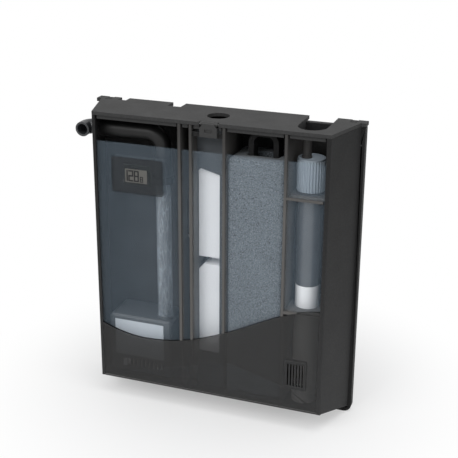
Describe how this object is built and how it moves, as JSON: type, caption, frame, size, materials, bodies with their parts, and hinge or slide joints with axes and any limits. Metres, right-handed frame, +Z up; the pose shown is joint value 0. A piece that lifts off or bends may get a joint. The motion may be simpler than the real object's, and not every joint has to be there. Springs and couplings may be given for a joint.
{
  "type": "internal aquarium filter",
  "caption": "Flat black aquarium box filter on a wall plate, with clear front, pump and riser pipe, swivel outlet, media cartridges, foam block, heater, display and hinged latched lid.",
  "frame": {"origin": "middle of the mounting plate's back face, where it lies on the aquarium's rear glass", "axes": "+Z up, +X to the right as seen from the front, +Y backwards into the glass; the see-through front faces -Y"},
  "size_m": [0.3261, 0.0729, 0.3556],
  "materials": {
    "plate_black": "fine grained matt moulding",
    "housing_black": "fine grained matt moulding",
    "lid_black": "matt moulding, a little lighter than the box",
    "latch_black": "satin moulding",
    "partition_black": "satin moulding",
    "inner_grey": "satin moulding",
    "strainer_grey": "pale satin moulding",
    "window_clear": "polished clear plastic with a blue-grey tint",
    "fascia_smoke": "smoked, nearly opaque, glossy",
    "gauge_smoke": "smoked, satin",
    "display_grey": "grey-beige display glass",
    "digit_black": "display segments",
    "board_green": "coated circuit board",
    "steel": "bright",
    "pump_grey": "fine grained matt moulding",
    "pump_panel": "bare satin panel",
    "white_plastic": "satin white",
    "cartridge_white": "fine white moulding",
    "media_core": "porous filter medium",
    "foam_grey": "open-cell foam with a speckled surface",
    "ferrite": "dull dark magnet",
    "shaft_ceramic": "polished",
    "coil_iron": "coil and core potted in resin",
    "rubber_black": "soft matt rubber",
    "tube_clear": "clear plastic tube",
    "pipe_black": "satin black",
    "nozzle_black": "satin black",
    "heater_grey": "smooth, lit by the wet glass",
    "dial_grey": "ribbed grip",
    "heater_ceramic": "wound ceramic former"
  },
  "bodies": {
    "mount": {"mounting_plate": "plate_black"},
    "housing": {"housing_shell": "housing_black", "front_window": "window_clear", "wave_fascia": "fascia_smoke", "intake_grille": "housing_black", "partition_pump": "partition_black", "partition_channel": "partition_black", "partition_cartridge": "partition_black", "partition_foam": "partition_black", "media_rack": "inner_grey", "heater_shelf": "partition_black", "heater_clip": "partition_black", "intake_strainer": "strainer_grey", "foam_grate": "inner_grey", "latch_keeper": "housing_black", "thermometer_case": "gauge_smoke", "thermometer_back": "gauge_smoke", "display_lens": "display_grey", "display_digits": "digit_black", "thermometer_board": "board_green", "button_cell": "steel", "temperature_sensor": "steel", "pump_body": "pump_grey", "pump_cover": "pump_grey", "pump_face_plate": "pump_panel", "rotor_shaft": "shaft_ceramic", "shaft_bushes": "rubber_black", "stator_block": "coil_iron", "pump_feet": "rubber_black", "riser_tube": "tube_clear", "elbow_pipe": "pipe_black", "wall_grommet": "rubber_black"},
    "rotor": {"impeller": "white_plastic", "rotor_magnet": "ferrite"},
    "shutter": {"flow_shutter": "white_plastic"},
    "nozzle": {"outlet_nozzle": "nozzle_black"},
    "cartridge_up": {"cartridge_upper": "cartridge_white", "core_upper": "media_core"},
    "cartridge_low": {"cartridge_lower": "cartridge_white", "core_lower": "media_core"},
    "foam": {"foam_block": "foam_grey", "foam_handle": "housing_black"},
    "heater": {"heater_tube": "heater_grey", "heater_neck": "dial_grey", "heater_gland": "partition_black", "heater_end_cap": "white_plastic", "heater_core": "heater_ceramic"},
    "dial": {"heater_dial": "dial_grey"},
    "lid": {"lid": "lid_black", "heater_notch_rim": "lid_black", "hinge_pins": "steel", "latch_pin": "steel"},
    "latch": {"latch": "latch_black"}
  },
  "joints": [
    {"name": "housing_lift", "type": "slide", "parent": "mount", "child": "housing", "axis": [0, 0, 1], "range_m": [0, 0.018]},
    {"name": "lid_hinge", "type": "hinge", "parent": "housing", "child": "lid", "pos_m": [0, -0.0028, 0.17855], "axis": [-1, 0, 0], "range_deg": [0, 90]},
    {"name": "latch_swing", "type": "hinge", "parent": "lid", "child": "latch", "pos_m": [0.00195, -0.0689, 0.17855], "axis": [-1, 0, 0], "range_deg": [0, 60]},
    {"name": "nozzle_swivel", "type": "hinge", "parent": "housing", "child": "nozzle", "pos_m": [-0.1456, -0.0433, 0.15525], "axis": [1, 0, 0], "range_deg": [-45, 45]},
    {"name": "rotor_spin", "type": "hinge", "parent": "housing", "child": "rotor", "pos_m": [-0.0641, -0.0433, -0.11975], "axis": [1, 0, 0], "continuous": true},
    {"name": "flow_shutter_slide", "type": "slide", "parent": "housing", "child": "shutter", "axis": [1, 0, 0], "range_m": [0, 0.00265]},
    {"name": "heater_lift", "type": "slide", "parent": "housing", "child": "heater", "axis": [0, 0, 1], "range_m": [0, 0.2]},
    {"name": "thermostat_dial", "type": "hinge", "parent": "heater", "child": "dial", "pos_m": [0.1101, -0.0433, 0.12625], "axis": [0, 0, 1], "range_deg": [0, 270]},
    {"name": "cartridge_upper_lift", "type": "slide", "parent": "housing", "child": "cartridge_up", "axis": [0, 0, 1], "range_m": [0, 0.036]},
    {"name": "cartridge_lower_lift", "type": "slide", "parent": "housing", "child": "cartridge_low", "axis": [0, 0, 1], "range_m": [0, 0.036]},
    {"name": "foam_lift", "type": "slide", "parent": "housing", "child": "foam", "axis": [0, 0, 1], "range_m": [0, 0.008]}
  ],
  "couplings": [
    {"joint": "cartridge_lower_lift", "follows": "cartridge_upper_lift", "ratio": 1}
  ]
}
